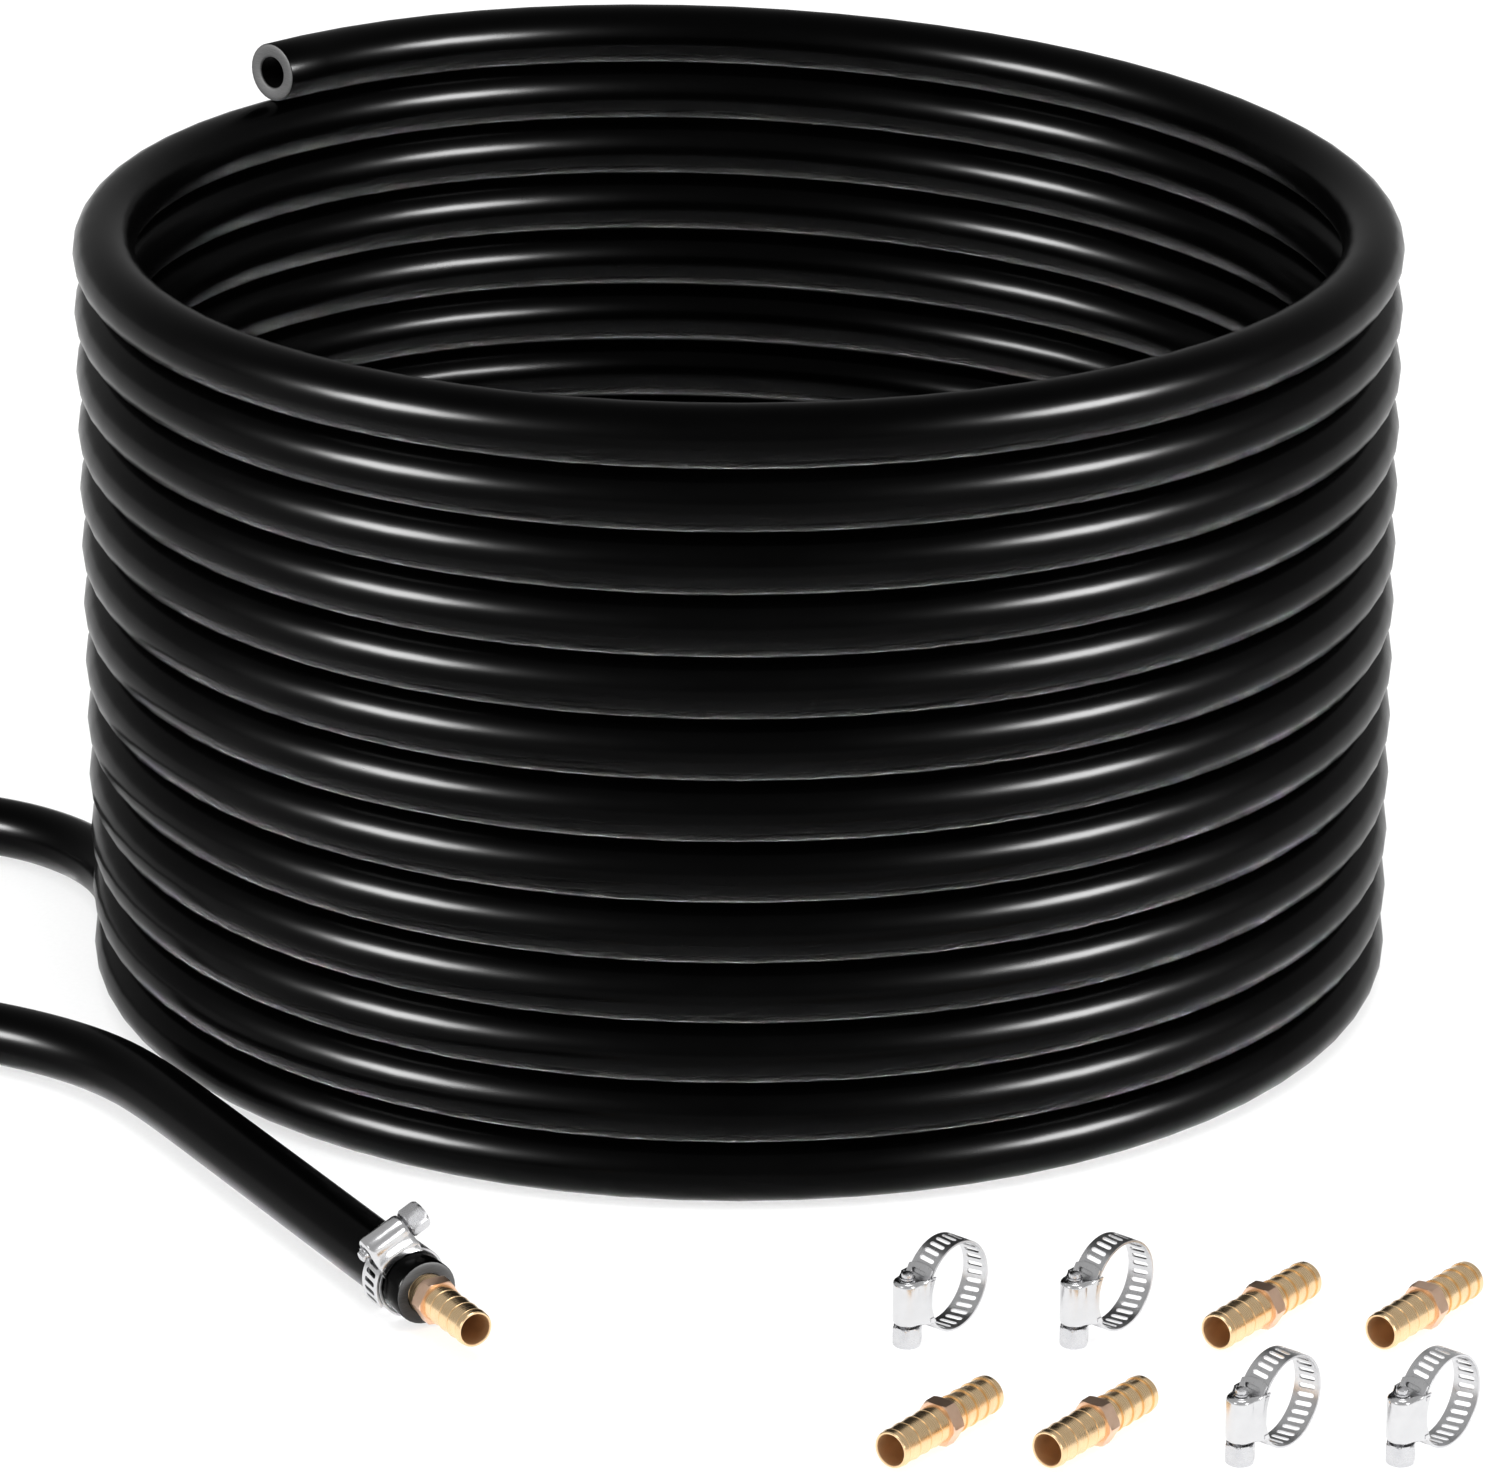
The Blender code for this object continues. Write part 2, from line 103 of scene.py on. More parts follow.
CAMERA_ELEVATION = 19.6
CAMERA_DISTANCE = 2.2
CAMERA_LENS = 182.6
AIM_DOWN = 1.152
AIM_RIGHT = 0.089
SENSOR_WIDTH = 36.0
NEAR, FAR = 0.1, 50.0


def make_camera():
    data = bpy.data.cameras.new("camera")
    data.sensor_width = SENSOR_WIDTH
    data.lens = CAMERA_LENS
    data.clip_start, data.clip_end = NEAR, FAR
    camera = bpy.data.objects.new("camera", data)
    bpy.context.scene.collection.objects.link(camera)
    target = COIL_CENTRE + UP * (TURNS * HOSE_OD / 2)
    elevation = math.radians(CAMERA_ELEVATION)
    back = Vector((0.0, -math.cos(elevation), math.sin(elevation)))
    camera.location = target + back * CAMERA_DISTANCE
    tilt = math.radians(90.0 - CAMERA_ELEVATION - AIM_DOWN)
    camera.rotation_euler = (tilt, 0.0, math.radians(-AIM_RIGHT))
    bpy.context.scene.camera = camera


make_camera()


# Mesh helpers ---------------------------------------------------------------------------------

def add_object(name, mesh, materials):
    obj = bpy.data.objects.new(name, mesh)
    bpy.context.scene.collection.objects.link(obj)
    for material in materials:
        mesh.materials.append(material)
    return obj


# Hose -----------------------------------------------------------------------------------------

COIL_STEP = 5.0
BACK_SPAN = 180.0
BACK_SPAN_LOWEST = 100.0
ANGLE_SLACK = 1e-6
TUBE_SIDES = 32
BORE_DEPTH = 60.0 * MM
END_ROUNDING = 0.5 * MM
MITRE = 0.3  # where the middle ring of a rounded edge sits, as a share of its rounding
TAIL_START = 4.0 * MM
TAIL_SPACING = 5.0 * MM
TAIL_SMOOTHING = 12
LOOP_POINTS = 16
CURVE_STEPS = 40
SKIN, CUT_FACE, BORE = 0, 1, 2  # the hose's material slots
FIRST_BORE_RING = 6


def coil_route():
    """From the cut end, clockwise from above: level in front, down by one diameter behind."""
    total = CUT_END_ANGLE + (TURNS - 0.5) * 360.0
    count = round(total / COIL_STEP)
    points = []
    for i in range(count + 1):
        angle = CUT_END_ANGLE - total * i / count
        turn = math.floor((180.0 - angle) / 360.0 + ANGLE_SLACK)
        passed = 180.0 - angle - 360.0 * turn
        share = turn / (TURNS - 1)
        span = BACK_SPAN + (BACK_SPAN_LOWEST - BACK_SPAN) * share * share
        drop = turn + (1.0 - math.cos(math.pi * min(max(passed, 0.0) / span, 1.0))) / 2
        way = heading_vector(math.radians(angle))
        points.append(COIL_CENTRE + way * COIL_RADIUS + UP * (TURNS + 0.5 - drop) * HOSE_OD)
    return points


def through(points, spacing):
    """Evenly spaced points on a Catmull-Rom curve through the given ones."""
    padded = [2 * points[0] - points[1]] + points + [2 * points[-1] - points[-2]]
    fine = []
    for a, b, c, d in zip(padded, padded[1:], padded[2:], padded[3:]):
        for i in range(CURVE_STEPS):
            t = i / CURVE_STEPS
            bend = 2 * a - 5 * b + 4 * c - d
            twist = 3 * b - 3 * c + d - a
            fine.append(0.5 * (2 * b + (c - a) * t + bend * t * t + twist * t ** 3))
    fine.append(points[-1].copy())
    lengths = [0.0]
    for first, second in zip(fine, fine[1:]):
        lengths.append(lengths[-1] + (second - first).length)
    count = max(2, round(lengths[-1] / spacing))
    route = []
    index = 0
    for i in range(count + 1):
        target = lengths[-1] * i / count
        while index < len(fine) - 2 and lengths[index + 1] < target:
            index += 1
        share = (target - lengths[index]) / (lengths[index + 1] - lengths[index])
        route.append(fine[index].lerp(fine[index + 1], min(max(share, 0.0), 1.0)))
    return route


def tail_route():
    """From the bottom turn round the loop on the floor, and straight to the lower end."""
    low = HOSE_OD / 2 + FLOOR_CLEARANCE
    heading = heading_vector(TAIL_HEADING)
    points = [COIL_CENTRE + Vector((-COIL_RADIUS, TAIL_START, HOSE_OD / 2))]
    for i in range(LOOP_POINTS):
        way = heading_vector(math.radians(LOOP_END_ANGLE * i / (LOOP_POINTS - 1)))
        points.append(COIL_CENTRE + LOOP_CENTRE + way * LOOP_RADIUS + UP * low)
    for x, y, lift in RETURN_POINTS:
        points.append(COIL_CENTRE + Vector((x * MM, y * MM, low + lift * MM)))
    end = COIL_CENTRE + OUTLET_END + UP * AXIS_HEIGHT
    points += [end - heading * OUTLET_LENGTH * share for share in (1.0, 2 / 3, 1 / 3, 0.0)]
    route = through(points, TAIL_SPACING)
    for _ in range(TAIL_SMOOTHING):
        middle = [(a + b * 2 + c) / 4 for a, b, c in zip(route, route[1:], route[2:])]
        route = [route[0]] + middle + [route[-1]]
    return route


def tube_section(bm, centre, side, up, radius):
    ring = []
    for i in range(TUBE_SIDES):
        angle = 2 * math.pi * i / TUBE_SIDES
        ring.append(bm.verts.new(centre + (side * math.cos(angle) + up * math.sin(angle)) * radius))
    return ring


def join_rings(bm, first, second, material=SKIN):
    for i in range(TUBE_SIDES):
        j = (i + 1) % TUBE_SIDES
        face = bm.faces.new((first[i], first[j], second[j], second[i]))
        face.smooth = True
        face.material_index = material


def end_rings(bm, end, way, side, bore):
    """Rings from the rounded outer edge of a cut end, over its face and down its bore; way points out."""
    outer = HOSE_OD / 2
    rounding = END_ROUNDING
    nick = rounding * MITRE
    steps = [(outer - nick, -nick), (outer - rounding, 0.0)]
    steps += [((outer * 2 + bore) / 3, 0.0), (bore + rounding, 0.0)]
    steps += [(bore + nick, -nick), (bore, -rounding), (bore, -BORE_DEPTH / 3)]
    steps += [(bore, -BORE_DEPTH)]
    return [tube_section(bm, end + way * along, side, UP, radius) for radius, along in steps]


def mark_skin(mesh, route):
    """Gives each vertex its place across and along the hose, for the lines in the skin."""
    skin = mesh.attributes.new("skin", "FLOAT_VECTOR", "POINT")
    along = 0.0
    count = TUBE_SIDES * len(route)
    for i, vertex in enumerate(mesh.vertices):
        ring = min(i // TUBE_SIDES, len(route) - 1)
        if i < count and i % TUBE_SIDES == 0 and ring:
            along += (route[ring] - route[ring - 1]).length
        angle = 2 * math.pi * (i % TUBE_SIDES) / TUBE_SIDES
        reach = HOSE_OD / 2
        skin.data[i].vector = (reach * math.cos(angle), reach * math.sin(angle), along)


def make_hose(materials):
    route = coil_route() + tail_route()
    bm = bmesh.new()
    rings = []
    for i, point in enumerate(route):
        before = route[max(i - 1, 0)]
        after = route[min(i + 1, len(route) - 1)]
        ahead = after - before
        side = Vector((ahead.y, -ahead.x, 0.0)).normalized()
        centre = point
        if i == 0:
            centre = point + ahead.normalized() * END_ROUNDING
        if i == len(route) - 1:
            centre = point - ahead.normalized() * END_ROUNDING
        rings.append(tube_section(bm, centre, side, UP, HOSE_OD / 2))
    for first, second in zip(rings, rings[1:]):
        join_rings(bm, first, second)
    first_way = (route[0] - route[1]).normalized()
    first_side = Vector((-first_way.y, first_way.x, 0.0)).normalized()
    last_way = heading_vector(TAIL_HEADING)
    last_side = Vector((last_way.y, -last_way.x, 0.0)).normalized()
    ends = (
        (rings[0], end_rings(bm, route[0], first_way, first_side, HOSE_BORE / 2)),
        (rings[-1], end_rings(bm, route[-1], last_way, last_side, OUTLET_BORE_RADIUS)),
    )
    for outside, face_rings in ends:
        chain = [outside] + face_rings
        for number, (a, b) in enumerate(zip(chain, chain[1:])):
            part = SKIN if number == 0 else CUT_FACE if number < FIRST_BORE_RING else BORE
            join_rings(bm, a, b, part)
        bm.faces.new(face_rings[-1]).material_index = BORE
    bmesh.ops.recalc_face_normals(bm, faces=bm.faces[:])
    mesh = bpy.data.meshes.new("hose")
    bm.to_mesh(mesh)
    bm.free()
    mark_skin(mesh, route)
    hose = add_object("hose", mesh, materials)
    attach(hose, "hose")
    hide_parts("hose_coil", "hose_tail", "hose_outlet_end")
    return hose


# Worm-drive clamps: ring axis along Y, housing on +Z, screw head on +X ------------------------

SLOT_SLANT = 0.12
SLOT_END_POINTS = 5
EDGE_ROUNDING = 0.09 * MM
EDGE_ANGLE = 50.0
RAIL = 0.45  # where a slot's cell turns its corner, as a share of the band's half width
STRIP_STEP = math.radians(7.5)
MERGE_DISTANCE = 0.004 * MM
CORNER_DRAWN_IN = 0.9 * MM
STRIP_SHARP, HOUSING_SHARP, SCREW_SHARP, SPLICER_SHARP = 32.0, 40.0, 28.0, 24.0


def basis(x_axis, y_axis, z_axis, place):
    matrix = Matrix.Identity(4)
    for column, axis in enumerate((x_axis, y_axis, z_axis)):
        matrix.col[column] = (*axis, 0.0)
    matrix.translation = place
    return matrix


def finish_mesh(node, bm, materials, matrix, body, sharp):
    """The mesh as a piece that stands for a CAD node; sharp is the angle of its hard edges."""
    name = node + "_piece"
    bmesh.ops.recalc_face_normals(bm, faces=bm.faces[:])
    mesh = bpy.data.meshes.new(name)
    bm.to_mesh(mesh)
    bm.free()
    mesh.shade_smooth()
    mesh.set_sharp_from_angle(angle=math.radians(sharp))
    obj = add_object(name, mesh, materials)
    obj.matrix_world = matrix
    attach(obj, body)
    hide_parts(node)
    return obj


def slot_outline():
    """Points round one slanted, round-ended slot, as (along the band, across it)."""
    radius = SLOT_WIDTH / 2
    reach = SLOT_LENGTH / 2 - radius
    points = []
    for end, first in ((1, 0.0), (-1, math.pi)):
        for i in range(SLOT_END_POINTS):
            angle = first + math.pi * i / (SLOT_END_POINTS - 1)
            across = end * reach + radius * math.sin(angle)
            points.append((radius * math.cos(angle) + SLOT_SLANT * across, across))
    return points


def cell_outline():
    """Points round one pitch of the band, matching the slot's points one to one."""
    half, edge, count = SLOT_PITCH / 2, BAND_WIDTH / 2, SLOT_END_POINTS
    points = []
    for end in (1, -1):
        points.append((end * half, end * edge * RAIL))
        for i in range(count - 2):
            share = i / (count - 3)
            points.append((end * half * (1 - 2 * share), end * edge))
        points.append((-end * half, end * edge * RAIL))
    return points


def strip_mesh(node, inner, start, end, first_slot, slots, body, matrix, closed=False):
    """A band of spring steel from one angle to another (from +Z towards +X), with its slots."""
    bm = bmesh.new()
    middle = inner + BAND_THICKNESS / 2
    pitch = SLOT_PITCH / middle
    edge = BAND_WIDTH / 2
    rail = edge * RAIL

    def vertex(angle, across):
        return bm.verts.new((inner * math.sin(angle), across, inner * math.cos(angle)))

    def plain(a, b):
        steps = max(1, math.ceil((b - a) / STRIP_STEP))
        for i in range(steps):
            low, high = a + (b - a) * i / steps, a + (b - a) * (i + 1) / steps
            for across, further in ((-edge, -rail), (-rail, rail), (rail, edge)):
                corners = ((low, across), (high, across), (high, further), (low, further))
                bm.faces.new([vertex(*corner) for corner in corners])

    plain(start, first_slot)
    for number in range(slots):
        centre = first_slot + (number + 0.5) * pitch
        hole = [vertex(centre + along / middle, across) for along, across in slot_outline()]
        rim = [vertex(centre + along / middle, across) for along, across in cell_outline()]
        for i in range(len(hole)):
            j = (i + 1) % len(hole)
            bm.faces.new((hole[i], hole[j], rim[j], rim[i]))
    plain(first_slot + slots * pitch, end)
    bmesh.ops.remove_doubles(bm, verts=bm.verts[:], dist=MERGE_DISTANCE)
    if not closed:
        round_corners(bm, start, end, inner)
    grown = bmesh.ops.extrude_face_region(bm, geom=bm.faces[:])
    for item in grown["geom"]:
        if isinstance(item, bmesh.types.BMVert):
            outward = Vector((item.co.x, 0.0, item.co.z)).normalized()
            item.co = outward * (inner + BAND_THICKNESS) + Vector((0, item.co.y, 0))
    strip = finish_mesh(node, bm, (BAND_STEEL,), matrix, body, STRIP_SHARP)
    bevel = strip.modifiers.new("edges", "BEVEL")
    bevel.width = EDGE_ROUNDING
    bevel.segments = 1
    bevel.limit_method = "ANGLE"
    bevel.angle_limit = math.radians(EDGE_ANGLE)
    return strip


def round_corners(bm, start, end, inner):
    """Draws the corners of a strip's two ends in, so that each end is rounded off."""
    for vertex in bm.verts:
        angle = math.atan2(vertex.co.x, vertex.co.z)
        for limit, way in ((start, 1), (end, -1)):
            if abs(angle - limit) < 0.01 and abs(vertex.co.y) > BAND_WIDTH * 0.49:
                angle += way * CORNER_DRAWN_IN / inner
                vertex.co.x, vertex.co.z = inner * math.sin(angle), inner * math.cos(angle)


# Along the housing: (millimetres from its end, the dome's inset, the bore's radius)
HOUSING_STATIONS = (
    (0.0, 1.15, 2.75), (0.12, 0.75, 2.75), (0.4, 0.35, 2.75), (0.85, 0.1, 2.8), (1.5, 0.0, 3.1),
)
# The same between the ends, with the place as a share of the half length
HOUSING_MIDDLE = ((-0.33, 0.0, 3.1), (0.33, 0.0, 3.1))
DOME_STEPS = 16
DOME_FOOT = 0.6 * MM
TAB_SHARE = 0.42
TAB_SIZE = (1.3 * MM, 0.55 * MM, 1.7 * MM)
TAB_SINK = 0.06 * MM
TAB_RISE = 1.1 * MM
TAB_BEVEL = 0.18 * MM


def dome_arc(radius, axis):
    """Half a circle over the screw, from one side of the housing to the other."""
    arc = []
    for i in range(DOME_STEPS + 1):
        angle = math.pi * i / DOME_STEPS
        arc.append((radius * math.cos(angle), axis + radius * math.sin(angle)))
    return arc


def housing_rows(x, radius, inset, collar):
    """Outer and inner outline of the housing's sheet at one place along the screw."""
    outer = radius + BAND_THICKNESS
    axis = outer + SCREW_OFFSET
    half = SADDLE_WIDTH / 2
    dome = DOME_RADIUS - inset
    foot = math.sqrt(max(radius * radius - x * x, 0.0))
    drop = radius - foot
    shoulder = outer + 1.2 * MM - drop * 0.5
    right = [(half, foot), (half, (foot + shoulder) / 2), (half - 0.05 * MM, shoulder)]
    right.append((half - 0.35 * MM - inset * 0.3, shoulder + 0.7 * MM))
    right.append((dome + 0.05 * MM, axis - DOME_FOOT))
    outline = right + dome_arc(dome, axis) + [(-y, z) for y, z in reversed(right)]
    passage = outer + BAND_GAP + BAND_THICKNESS + BAND_GAP
    inside_half = BAND_WIDTH / 2 + BAND_GAP
    inside = [(inside_half, foot), (inside_half, (foot + passage) / 2)]
    inside.append((inside_half, passage - drop * 0.6))
    inside.append((min(inside_half, collar + 0.5 * MM), passage + 0.3 * MM))
    inside.append((collar, axis - DOME_FOOT))
    inner = inside + dome_arc(collar, axis) + [(-y, z) for y, z in reversed(inside)]
    return outline, inner


def make_housing(name, matrix, radius, body):
    """The pressed sheet over the screw, lofted from one end to the other."""
    bm = bmesh.new()
    end = HOUSING_LENGTH / 2
    places = [(-end + a * MM, b * MM, c * MM) for a, b, c in HOUSING_STATIONS]
    places += [(end * share, b * MM, c * MM) for share, b, c in HOUSING_MIDDLE]
    places += [(end - a * MM, b * MM, c * MM) for a, b, c in reversed(HOUSING_STATIONS)]
    rings = []
    for x, inset, collar in places:
        outline, inner = housing_rows(x, radius, inset, collar)
        rings.append([[bm.verts.new((x, y, z)) for y, z in row] for row in (outline, inner)])
    for (outer_a, inner_a), (outer_b, inner_b) in zip(rings, rings[1:]):
        for i in range(len(outer_a) - 1):
            bm.faces.new((outer_a[i], outer_a[i + 1], outer_b[i + 1], outer_b[i]))
            bm.faces.new((inner_a[i], inner_b[i], inner_b[i + 1], inner_a[i + 1]))
        for i in (0, -1):
            bm.faces.new((outer_a[i], outer_b[i], inner_b[i], inner_a[i]))
    for outer, inner in (rings[0], rings[-1]):
        for i in range(len(outer) - 1):
            bm.faces.new((outer[i], outer[i + 1], inner[i + 1], inner[i]))
    tabs(bm, radius)
    return finish_mesh(name, bm, (HOUSING_STEEL,), matrix, body, HOUSING_SHARP)


def tabs(bm, radius):
    """Folded ears at the foot of the skirt, two on each side."""
    size = Matrix.Diagonal((*TAB_SIZE, 1.0))
    for x in (-HOUSING_LENGTH * TAB_SHARE, HOUSING_LENGTH * TAB_SHARE):
        foot = math.sqrt(radius * radius - x * x)
        for side in (-1, 1):
            place = Matrix.Translation((x, side * (SADDLE_WIDTH / 2 - TAB_SINK), foot + TAB_RISE))
            made = bmesh.ops.create_cube(bm, size=1.0, matrix=place @ size)
            edges = {edge for vertex in made["verts"] for edge in vertex.link_edges}
            bmesh.ops.bevel(bm, geom=list(edges), offset=TAB_BEVEL, segments=2, affect="EDGES")


SCREW_SIDES = 48
ROUND, WORM, HEX = 0, 1, 2
WORM_RUN_IN = 0.3 * MM
WORM_SHORTER_BY = 0.9 * MM
WORM_STEPS = 8
# Radii along the screw, in millimetres
TIP_RIM = 2.05
THREAD_ROOT, THREAD_HEIGHT = 1.85, 0.45
NECK = 1.9
WASHER = 2.7
# The hex head: (millimetres from its underside, share of the corner's radius)
HEAD_STATIONS = (
    (0.0, 0.87), (0.25, 0.94), (0.6, 1.01), (4.6, 1.01), (5.2, 0.95), (5.55, 0.88), (5.7, 0.78),
)


def hex_reach(angle, flats, limit):
    """Distance from the axis to a hexagon's side, cut off at a share of its corner radius."""
    turned = (angle + math.pi / 6) % (math.pi / 3) - math.pi / 6
    return min(flats / 2 / math.cos(turned), flats / math.sqrt(3) * limit)


def worm_reach(x, angle):
    """Distance in millimetres from the axis to the thread's surface."""
    phase = (x / SLOT_PITCH - angle / (2 * math.pi)) % 1.0
    return THREAD_ROOT + THREAD_HEIGHT * min(1.0, max(0.0, 1.6 - abs(phase - 0.5) * 4))


def screw_stations():
    """(place along the axis, radius in millimetres or share of the corner, kind of section)."""
    head_start = HOUSING_LENGTH / 2 + HEAD_GAP
    head_end = head_start + HEAD_LENGTH
    tip_start = -HOUSING_LENGTH / 2
    tip_end = tip_start - TIP_LENGTH
    tip = TIP_RADIUS / MM
    stations = [(tip_end, 0.35, ROUND), (tip_end + 0.12 * MM, 0.85, ROUND)]
    stations += [(tip_end + 0.4 * MM, tip - 0.12, ROUND), (tip_end + 0.75 * MM, tip, ROUND)]
    stations += [(tip_start - 0.7 * MM, tip, ROUND), (tip_start - 0.65 * MM, TIP_RIM, ROUND)]
    stations += [(tip_start - 0.1 * MM, TIP_RIM, ROUND), (tip_start, 1.8, ROUND)]
    steps = int(HOUSING_LENGTH / SLOT_PITCH * WORM_STEPS)
    for i in range(steps + 1):
        place = tip_start + WORM_RUN_IN + (HOUSING_LENGTH - WORM_SHORTER_BY) * i / steps
        stations.append((place, 0.0, WORM))
    stations += [(head_start - 0.25 * MM, NECK, ROUND), (head_start, NECK, ROUND)]
    stations.append((head_start, WASHER, ROUND))
    for along, limit in HEAD_STATIONS:
        stations.append((head_start + along * MM, limit, HEX))
    return stations + [(head_end, 1.6, ROUND), (head_end, 0.5, ROUND)]


def make_screw(name, matrix, radius, body):
    """Hex head, collar, worm and domed tip, turned about the screw's own axis."""
    bm = bmesh.new()
    rings = []
    for x, size, kind in screw_stations():
        ring = []
        for i in range(SCREW_SIDES):
            angle = 2 * math.pi * i / SCREW_SIDES
            reach = size * MM
            if kind == WORM:
                reach = worm_reach(x, angle) * MM
            if kind == HEX:
                reach = hex_reach(angle, HEX_FLATS, size)
            ring.append(bm.verts.new((x, reach * math.sin(angle), reach * math.cos(angle))))
        rings.append(ring)
    for first, second in zip(rings, rings[1:]):
        for i in range(SCREW_SIDES):
            j = (i + 1) % SCREW_SIDES
            bm.faces.new((first[i], first[j], second[j], second[i]))
    bm.faces.new(rings[0])
    bm.faces.new(rings[-1])
    axis = radius + BAND_THICKNESS + SCREW_OFFSET
    matrix = matrix @ Matrix.Translation((0.0, 0.0, axis))
    return finish_mesh(name, bm, (SCREW_STEEL,), matrix, body, SCREW_SHARP)


STRIP_MARGIN = 1.3 * MM


def make_clamp(tag, matrix, radius, strip_start, strip_end):
    """The band, its free end, the housing and the screw; strip angles go from +Z towards -X."""
    middle = radius + BAND_THICKNESS / 2
    pitch = SLOT_PITCH / middle
    covered = math.asin(HOUSING_LENGTH / 2 / (radius + BAND_THICKNESS))
    slots = int((2 * math.pi - 2 * covered) / pitch)
    spare = (2 * math.pi - 2 * covered - slots * pitch) / 2
    strip_mesh(tag + "_band", radius, -covered, 2 * math.pi - covered, covered + spare, slots, tag,
               matrix, closed=True)
    start, end = -math.radians(strip_end), -math.radians(strip_start)
    inner = radius + BAND_THICKNESS + BAND_GAP
    pitch = SLOT_PITCH / (inner + BAND_THICKNESS / 2)
    margin = STRIP_MARGIN / inner
    slots = int((end - start - margin) / pitch)
    strip_mesh(tag + "_free_end", inner, start, end, start + margin, slots, tag + "_free_end_body",
               matrix)
    make_housing(tag + "_housing", matrix, radius, tag)
    make_screw(tag + "_screw", matrix, radius, tag + "_screw_body")


# Barbed splicers, turned about Z ------------------------------------------------------------

COLLAR_RADIUS = 5.45 * MM
SPLICER_SIDES = 72
BARBS = 3
SOFT = 0.08 * MM
# The tip's chamfer: (back from the end, below the crest)
TIP_CHAMFER = ((0.3 * MM, 0.2 * MM), (0.0, 0.4 * MM))
# Half the nut: (share of its half length, share of the corner's radius)
NUT_STATIONS = ((0.75, 1.01), (0.9, 0.965), (1.0, 0.915))
MOUTH_CHAMFER_WIDTH = 0.15 * MM
MOUTH_CHAMFER_DEPTH = 0.2 * MM
# A barb's crest and the groove behind it: (along, below the crest), in steps of SOFT
BARB_SHAPE = ((0, 1), (1, 0), (4, 0), (5, 2.5), (7, 2.5), (8, 1))
TIP_SHAPE = ((0, 1), (1, 0), (4, 0), (5, 2), (6, 2), (7, 0.5))
# The bore's slot takes a copy of the brass made a touch paler: painted light inside the shaded bore
BODY_METAL, NUT_METAL, BORE_METAL_PAINTED_LIGHT = 0, 1, 2


def crest_stations(start, shape):
    return [(start + along * SOFT, BARB_CREST - below * SOFT, False) for along, below in shape]


def splicer_stations(collar):
    """(height, radius, is nut) from the lower tip to the upper one; a collar sits on the lower side."""
    end = SPLICER_LENGTH / 2
    step = end - TIP_RING_LENGTH - BARBS * BARB_PITCH
    half = [(NUT_LENGTH / 2, BARB_CREST, False), (step, BARB_ROOT, False)]
    for _ in range(BARBS):
        half += crest_stations(step, BARB_SHAPE)
        step += BARB_PITCH
        half.append((step, BARB_ROOT, False))
    half += crest_stations(step, TIP_SHAPE)
    half += [(end - back, BARB_CREST - below, False) for back, below in TIP_CHAMFER]
    nut = [(share * NUT_LENGTH / 2, limit, True) for share, limit in NUT_STATIONS]
    nut += [(NUT_LENGTH / 2, BARB_CREST + 0.02 * MM, False)]
    upper = nut + half
    lower = [(-height, size, kind) for height, size, kind in reversed(upper)]
    if collar:
        nut_face = lower.index((-NUT_LENGTH / 2, BARB_CREST, False))
        neck = NUT_LENGTH / 2 + SPLICER_EXPOSED_NECK
        lower[nut_face:nut_face + 1] = [
            (-neck, BARB_ROOT, False), (-neck + 0.02 * MM, COLLAR_RADIUS - 0.25 * MM, False),
            (-neck + 0.25 * MM, COLLAR_RADIUS, False), (-NUT_LENGTH / 2 - 0.3 * MM, COLLAR_RADIUS, False),
            (-NUT_LENGTH / 2 - 0.15 * MM, COLLAR_RADIUS - 0.3 * MM, False)]
    return lower + upper


def make_splicer(name, matrix, body, collar=False):
    bore = SPLICER_BORE / 2
    end = SPLICER_LENGTH / 2
    stations = splicer_stations(collar)
    outside = len(stations) - 1
    mouth = bore + MOUTH_CHAMFER_WIDTH
    stations += [(end, mouth, False), (end - MOUTH_CHAMFER_DEPTH, bore, False), (0.0, bore, False)]
    stations += [(-end + MOUTH_CHAMFER_DEPTH, bore, False), (-end, mouth, False)]
    bm = bmesh.new()
    rings = []
    for height, size, nut in stations:
        ring = []
        for i in range(SPLICER_SIDES):
            angle = 2 * math.pi * i / SPLICER_SIDES
            reach = hex_reach(angle, NUT_FLATS, size) if nut else size
            ring.append(bm.verts.new((reach * math.cos(angle), reach * math.sin(angle), height)))
        rings.append(ring)
    count = len(stations)
    for number, first in enumerate(rings):
        second = rings[(number + 1) % count]
        metal = BODY_METAL if number <= outside or number == count - 1 else BORE_METAL_PAINTED_LIGHT
        if stations[number][2] or stations[(number + 1) % count][2]:
            metal = NUT_METAL
        for i in range(SPLICER_SIDES):
            j = (i + 1) % SPLICER_SIDES
            face = bm.faces.new((first[i], first[j], second[j], second[i]))
            face.material_index = metal
    materials = (BRASS, NUT_BRASS, PAINTED_LIGHT_BORE_BRASS)
    return finish_mesh(name, bm, materials, matrix, body, SPLICER_SHARP)


FITTED_FREE_END = (-5.0, 100.0)
OPEN_FREE_END = (-32.0, 42.0)


def place_fitted_pieces():
    heading = heading_vector(TAIL_HEADING)
    side = Vector((-heading.y, heading.x, 0.0))
    height = UP * AXIS_HEIGHT
    housing_way = math.cos(FITTED_CLAMP_ROLL) * UP - math.sin(FITTED_CLAMP_ROLL) * side
    head_way = math.cos(FITTED_CLAMP_ROLL) * side + math.sin(FITTED_CLAMP_ROLL) * UP
    ring_place = COIL_CENTRE + OUTLET_END - heading * FITTED_CLAMP_SETBACK + height
    ring = basis(head_way, housing_way.cross(head_way), housing_way, ring_place)
    make_clamp("clamp_fitted", ring, FITTED_BAND_RADIUS, *FITTED_FREE_END)
    reach = NUT_LENGTH / 2 + SPLICER_EXPOSED_NECK
    place = COIL_CENTRE + OUTLET_END + heading * reach + height
    make_splicer("splicer_fitted", basis(UP, heading.cross(UP), heading, place), "splicer_fitted", True)


